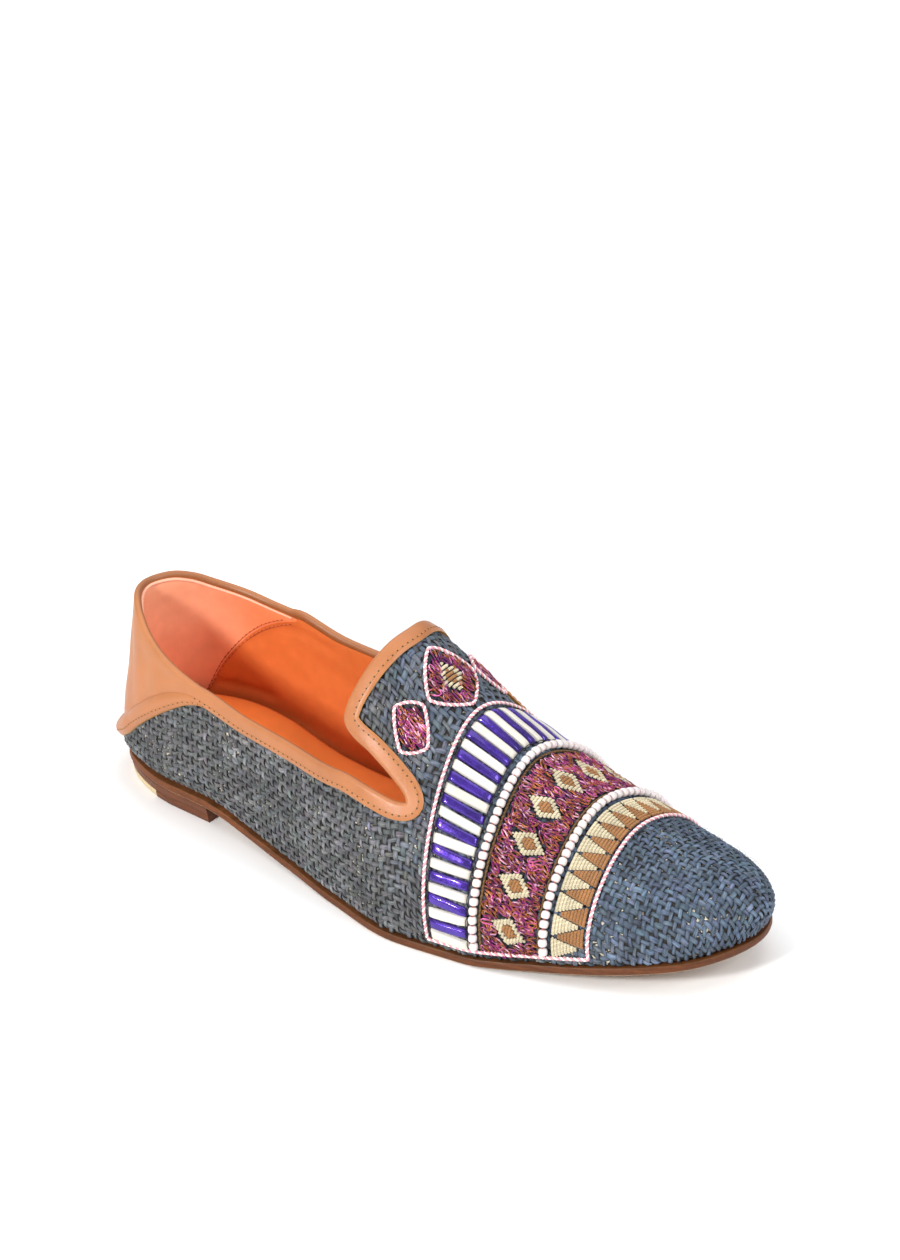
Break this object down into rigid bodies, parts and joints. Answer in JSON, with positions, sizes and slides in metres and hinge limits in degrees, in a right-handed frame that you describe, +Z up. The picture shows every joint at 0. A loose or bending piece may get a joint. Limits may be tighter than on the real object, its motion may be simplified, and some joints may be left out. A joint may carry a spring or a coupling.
{
  "type": "beaded moccasin shoe",
  "caption": "Right slip-on moccasin with a woven upper, folding leather back, bound collar and tongue, banded beadwork over the vamp, leather sole and low stacked heel.",
  "frame": {"origin": "on the floor, under the middle of the shoe's box", "axes": "+X from the heel to the toe, +Y to the inner side of the foot, +Z up"},
  "size_m": [0.2623, 0.0959, 0.0917],
  "materials": {
    "sole_leather": "burnished edge, satin",
    "pale_leather": "raw, matt",
    "lining_leather": "smooth, satin",
    "woven_raffia": "plain weave of flat plant fibre, matt",
    "tan_leather": "smooth calf, satin",
    "strip_leather": "glossy metallic purple strips with cream strips between",
    "metallic_thread": "chain stitch in metallic magenta thread",
    "wool_thread": "satin stitch in cream and rust yarn",
    "white_beads": "glossy, slightly pink white"
  },
  "bodies": {
    "root": {"outsole": "sole_leather", "heel_stack": "sole_leather", "heel_lift": "sole_leather", "heel_tip": "pale_leather", "insole": "lining_leather", "upper": "woven_raffia", "heel_panel": "tan_leather", "heel_band": "tan_leather", "collar_binding": "tan_leather", "strip_lane": "strip_leather", "chain_band": "metallic_thread", "tooth_band": "wool_thread", "bead_row_back": "white_beads", "bead_row_front": "white_beads", "tongue_medallion": "metallic_thread", "tongue_lozenge_lateral": "metallic_thread", "tongue_lozenge_medial": "metallic_thread"}
  },
  "joints": []
}
